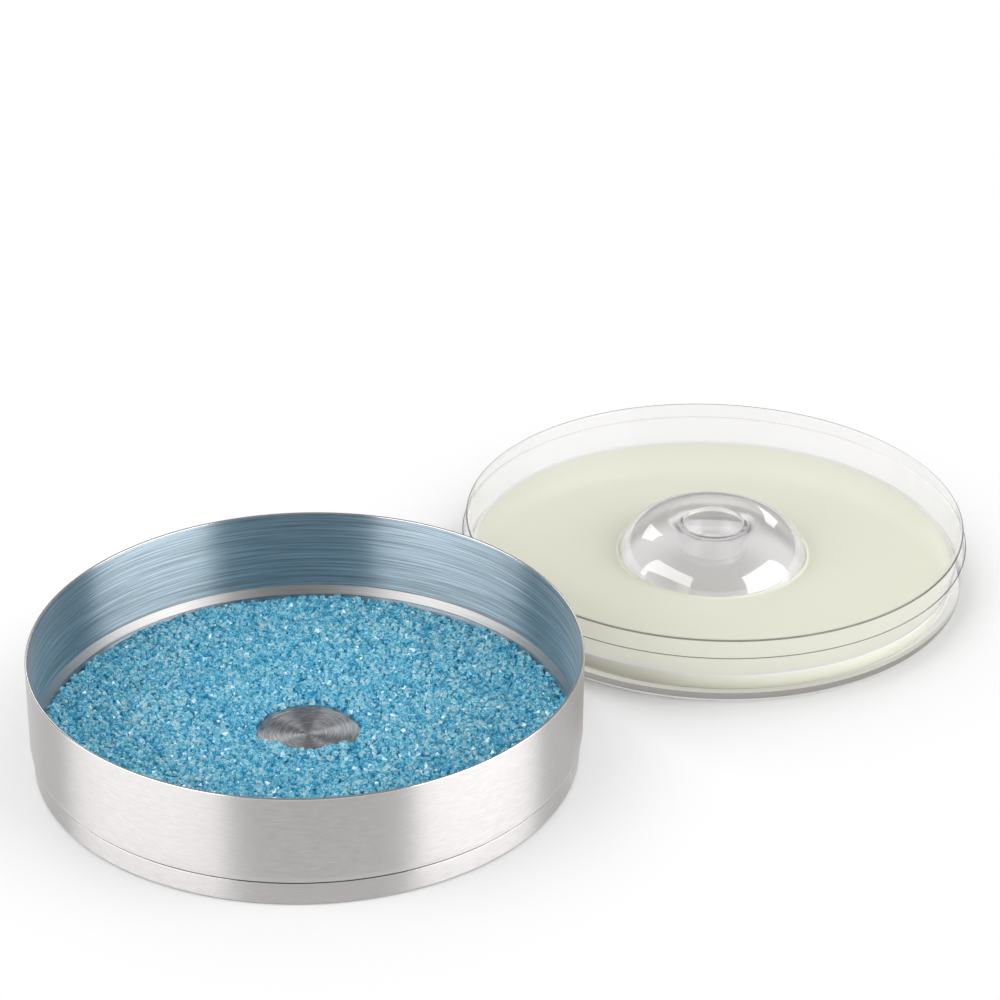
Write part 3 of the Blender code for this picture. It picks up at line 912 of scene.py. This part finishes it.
class RIMMER_OT_tray(bpy.types.Operator):
    """Clear moulded tray: neck, shoulder, wall, foot ring, and a hollow dome with a closed well"""
    bl_idname = "rimmer.tray"
    bl_label = "Tray"

    def execute(self, context):
        tray = context.scene.rimmer_tray
        at = tray_radii(tray)
        lip_half = at["well"] - at["crest"]
        lip_centre = (at["crest"], at["top"] - tray.lip_drop)
        crown_centre = (at["crest"], at["spring"])
        crown = quarter_ellipse(crown_centre, at["dome"] - at["crest"], at["top"] - at["spring"], 24)
        outside = quarter_ellipse(lip_centre, lip_half, tray.lip_drop, 8) + crown[::-1][1:]
        stem = at["well"] + tray.dome_wall
        under_top = at["top"] - tray.dome_wall
        under_spring = at["spring"] - tray.dome_wall
        hollow = at["dome"] - tray.dome_wall
        under_crown = quarter_ellipse((at["crest"], under_spring), hollow - at["crest"],
                                      under_top - under_spring, 24)
        under_lip = quarter_ellipse((at["crest"], under_top - tray.lip_drop), stem - at["crest"],
                                    tray.lip_drop, 8)
        foot_outside = at["base"] - tray.foot_inset
        foot_inside = foot_outside - tray.foot_width
        edge = tray.neck_wall / 3
        foot_edge = tray.foot_height / 4
        draft = tray.outer_draft / (tray.shoulder - tray.foot_height)
        strip_top, band_top = ((at["base"] + draft * rise, tray.foot_height + rise, 0)
                               for rise in (tray.band + tray.strip, tray.band))
        outline = rounded(
            [(0, at["well_floor"], 0), (at["well"], at["well_floor"], tray.well_corner)]
            + outside
            + [
                (at["dome"], at["floor"], tray.dome_fillet),
                (at["mouth"] - tray.inner_draft, at["floor"], tray.corner),
                (at["mouth"], at["rim"], edge),
                (at["neck"], at["rim"], edge),
                (at["neck"], tray.shoulder, 0),
                (OUTER_RADIUS, tray.shoulder, tray.shoulder_edge),
                strip_top,
                band_top,
                (at["base"], tray.foot_height, tray.base_fillet),
                (foot_outside, tray.foot_height, 0),
                (foot_outside, 0, foot_edge),
                (foot_inside, 0, foot_edge),
                (foot_inside, tray.foot_height, 0),
                (hollow, tray.foot_height, tray.dome_fillet),
            ]
            + under_crown + under_lip[::-1][1:]
            + [(stem, at["well_floor"] - tray.dome_wall, tray.well_corner),
               (0, at["well_floor"] - tray.dome_wall, 0)])
        thin = {"IOR": 1.0, "Coat IOR": 1.45}
        shine = {"Coat IOR": 1.9, "Coat Roughness": 0.05, "Transmission Weight": 0.85}
        finishes = (plastic_finish(*finish) for finish in (
            ("clear_plastic", tray.plastic, thin),
            ("dome_plastic", tray.dome_plastic, shine),
            ("dome_underside", tray.dome_plastic, {"Coat Weight": 0.0, "Roughness": 0.15}),
            ("plastic_edge_shade", tray.plastic_edge_shade, thin),
            ("plastic_foot_shade", tray.plastic_foot_shade, thin),
            ("plastic_strip_shade", tray.plastic_strip_shade, thin)))
        piece = turned("tray_moulding", outline, TRAY_AXIS, tray.flats, finishes)
        # The finishes after the first, which every other face keeps.
        dome, underside, dark_edge, dark_foot, strip = range(1, 6)
        for face in piece.data.polygons:
            outward = (face.center - TRAY_AXIS).xy
            level = face.center.z
            at_rim = level > at["rim"] - DARK_RIM * edge and outward.length > at["neck"] - edge
            at_side = outward.length > OUTER_RADIUS - tray.shoulder_edge
            at_shoulder = at_side and level > tray.shoulder - DARK_SHOULDER * tray.shoulder_edge
            above_foot = level - tray.foot_height if outward.length > foot_outside else 0
            in_well = outward.length < at["well"] + MERGE and face.normal.z > -0.5
            if outward.length < at["dome"] and level > at["floor"]:
                face.material_index = dome if in_well or face.normal.xy.dot(outward) > 0 else underside
            # Dark lines at the rim and the shoulder: painted shade.
            elif at_rim or at_shoulder:
                face.material_index = dark_edge
            # The dark band at the bottom of the wall: painted shade.
            elif tray.base_fillet / 3 < above_foot < tray.band:
                face.material_index = dark_foot
            # The strip above the band: painted shade, tinted like the juice.
            elif tray.band < above_foot < tray.band + tray.strip:
                face.material_index = strip
        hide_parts("tray_lid")
        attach(piece, TRAY_BODY)
        return {"FINISHED"}


class RIMMER_OT_juice(bpy.types.Operator):
    """Juice in the tray's channel, drawn up a little where it wets the walls"""
    bl_idname = "rimmer.juice"
    bl_label = "Juice"

    def execute(self, context):
        tray = context.scene.rimmer_tray
        at = tray_radii(tray)
        gap, wet = tray.juice_gap, tray.wetting
        level, bottom = JUICE_HIGH.z, at["floor"] + gap
        shore = dome_radius(at, level) + gap
        wall = wall_radius(tray, at, level) - gap
        corners = [(at["dome"] + tray.dome_fillet, bottom, 0)]
        steps = [index / 8 for index in range(9)]
        heights = [at["spring"] + (level - at["spring"]) * step for step in steps]
        corners += [(dome_radius(at, height) + gap, height, 0) for height in heights]
        corners += [(shore + 2 * wet * step, level - wet + wet * (1 - step) ** 2, 0) for step in steps[1:]]
        corners += [(wall - 2 * wet * (1 - step), level - wet + wet * step ** 2, 0) for step in steps[:-1]]
        corners += [
            (wall, level, 0),
            (wall_radius(tray, at, at["floor"]) - gap, bottom + 0.00001, tray.corner - gap),
        ]
        outline = rounded(corners + [(at["dome"] + tray.dome_fillet + 0.001, bottom, 0)])
        finish = juice_finish(tray, at)
        piece = turned("lime_juice_pool", outline, TRAY_AXIS, tray.flats, [finish], closed=True)
        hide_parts("lime_juice")
        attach(piece, TRAY_BODY)
        return {"FINISHED"}


class RIMMER_OT_stage(bpy.types.Operator):
    """Pale floor, soft lamps, an even sky and the camera"""
    bl_idname = "rimmer.stage"
    bl_label = "Stage"

    def execute(self, context):
        stage = context.scene.rimmer_stage
        self.floor(stage)
        self.sky(context.scene, stage)
        for lamp in LAMPS:
            self.softbox(context, stage, *lamp)
        self.camera(context, stage)
        context.scene.view_settings.view_transform = "Standard"
        return {"FINISHED"}

    def floor(self, stage):
        """Wide round floor, which turns white away from the two parts and keeps their shadows, with a glowing
        painted shadow under the tray that also lights the juice from below.
        """
        deselect_all()
        bpy.ops.mesh.primitive_circle_add(vertices=96, radius=4.0, fill_type="NGON", location=(0, 0, -0.0002))
        floor = bpy.context.object
        floor.name = "floor"
        settle(floor)
        material, maker = new_material("pale_floor")
        place = maker.place()
        off_dish, off_tray = (maker.distance(place, axis) for axis in (DISH_AXIS, TRAY_AXIS))
        nearer = maker.add("ShaderNodeMath", {"operation": "MINIMUM"}, {0: off_dish, 1: off_tray})
        far = maker.ranged(nearer, OUTER_RADIUS - 0.01, OUTER_RADIUS + stage.shadow_reach, "SMOOTHSTEP")
        beyond = maker.ranged(off_tray, OUTER_RADIUS - 0.003, OUTER_RADIUS + 0.001, "SMOOTHSTEP")
        matt = maker.add("ShaderNodeBsdfDiffuse", None, {"Color": (*stage.floor_colour, 1)})
        white = maker.add("ShaderNodeEmission", None, {"Color": (1, 1, 1, 1), "Strength": 1.0})
        # Under the tray the floor glows grey: a painted shadow, seen through the plastic and lighting the
        # juice from below.
        ring = maker.ranged(off_tray, 0.008, 0.026, "SMOOTHSTEP")
        shade = maker.tone(ring, stage.under_shadow, stage.ring_shadow)
        under = maker.add("ShaderNodeEmission", None, {"Color": shade, "Strength": 1.0})
        scattered = maker.ray("Is Diffuse Ray")
        through = maker.clamped("ADD", seen_through(maker), scattered * (1 - beyond))
        open_floor = maker.mixed(far * seen_directly(maker), matt, white)
        surface(maker, maker.mixed(through, open_floor, maker.mixed(beyond, under, white)))
        floor.data.materials.append(material)

    def sky(self, scene, stage):
        """An even sky, white where it is seen and a grey studio in reflections."""
        world = bpy.data.worlds.new("studio")
        scene.world = world
        world.use_nodes = True
        world.node_tree.nodes.clear()
        maker = NodeMaker(world.node_tree)
        shine = maker.ray("Is Glossy Ray")
        strength = stage.sky_level - stage.sky_fall * shine
        level = maker.add("ShaderNodeBackground", None, {"Color": (1, 1, 1, 1), "Strength": strength})
        white = maker.add("ShaderNodeBackground", None, {"Color": (1, 1, 1, 1), "Strength": 1.0})
        seen = maker.clamped("ADD", maker.ray("Is Camera Ray"), seen_through(maker))
        maker.add("ShaderNodeOutputWorld", None, {"Surface": maker.mixed(seen, level, white)})

    def softbox(self, context, stage, name, span, foot, top, level):
        """An upright softbox that fills a span of directions, in degrees from +X, between two heights."""
        middle = radians(sum(span) / 2)
        width = 2 * stage.lamp_distance * tan(radians(span[1] - span[0]) / 2)
        lamp = bpy.data.lights.new(name, "AREA")
        lamp.shape = "RECTANGLE"
        lamp.size, lamp.size_y = width, top - foot
        lamp.energy = level * stage.lamp_level * pi * width * (top - foot)
        holder = bpy.data.objects.new(name, lamp)
        context.scene.collection.objects.link(holder)
        away = Vector((cos(middle), sin(middle), 0))
        holder.location = stage.lamp_distance * away + Vector((0, 0, (foot + top) / 2))
        holder.rotation_euler = (-away).to_track_quat("-Z", "Y").to_euler()
        holder.visible_camera = False

    def camera(self, context, stage):
        """The camera at the photograph's viewing angle."""
        data = bpy.data.cameras.new("Camera")
        data.lens = stage.lens
        data.sensor_width = 36.0
        data.shift_x, data.shift_y = stage.shift
        data.clip_end = 20.0
        holder = bpy.data.objects.new("Camera", data)
        context.scene.collection.objects.link(holder)
        turn = Matrix.Rotation(pi / 2 - stage.pitch, 4, "X") @ Matrix.Rotation(stage.roll, 4, "Z")
        holder.matrix_world = Matrix.Translation(stage.camera_place) @ turn
        context.scene.camera = holder


class RIMMER_PT_pieces(bpy.types.Panel):
    """Lists the pieces that the rimmer is dressed with"""
    bl_idname = "RIMMER_PT_pieces"
    bl_label = "Cocktail Rimmer"
    bl_space_type = "VIEW_3D"
    bl_region_type = "UI"
    bl_category = "Rimmer"

    def draw(self, context):
        for operator in OPERATORS:
            self.layout.operator(operator.bl_idname)


GROUPS = (
    ("rimmer_dish", RimmerDish),
    ("rimmer_sugar", RimmerSugar),
    ("rimmer_tray", RimmerTray),
    ("rimmer_stage", RimmerStage),
)
OPERATORS = (
    RIMMER_OT_stage,
    RIMMER_OT_steel_dish,
    RIMMER_OT_centre_boss,
    RIMMER_OT_sugar,
    RIMMER_OT_tray,
    RIMMER_OT_juice,
)


def register():
    """Registers the classes and puts the sizes on the scene."""
    for name, group in GROUPS:
        bpy.utils.register_class(group)
        setattr(bpy.types.Scene, name, bpy.props.PointerProperty(type=group))
    for operator in OPERATORS:
        bpy.utils.register_class(operator)
    bpy.utils.register_class(RIMMER_PT_pieces)


def unregister():
    """Takes the classes and the sizes off again."""
    bpy.utils.unregister_class(RIMMER_PT_pieces)
    for operator in reversed(OPERATORS):
        bpy.utils.unregister_class(operator)
    for name, group in reversed(GROUPS):
        delattr(bpy.types.Scene, name)
        bpy.utils.unregister_class(group)


def main():
    """Dresses the rimmer."""
    register()
    bpy.ops.rimmer.stage()
    bpy.ops.rimmer.steel_dish()
    bpy.ops.rimmer.centre_boss()
    bpy.ops.rimmer.sugar()
    bpy.ops.rimmer.tray()
    bpy.ops.rimmer.juice()


if __name__ == "__main__":
    main()
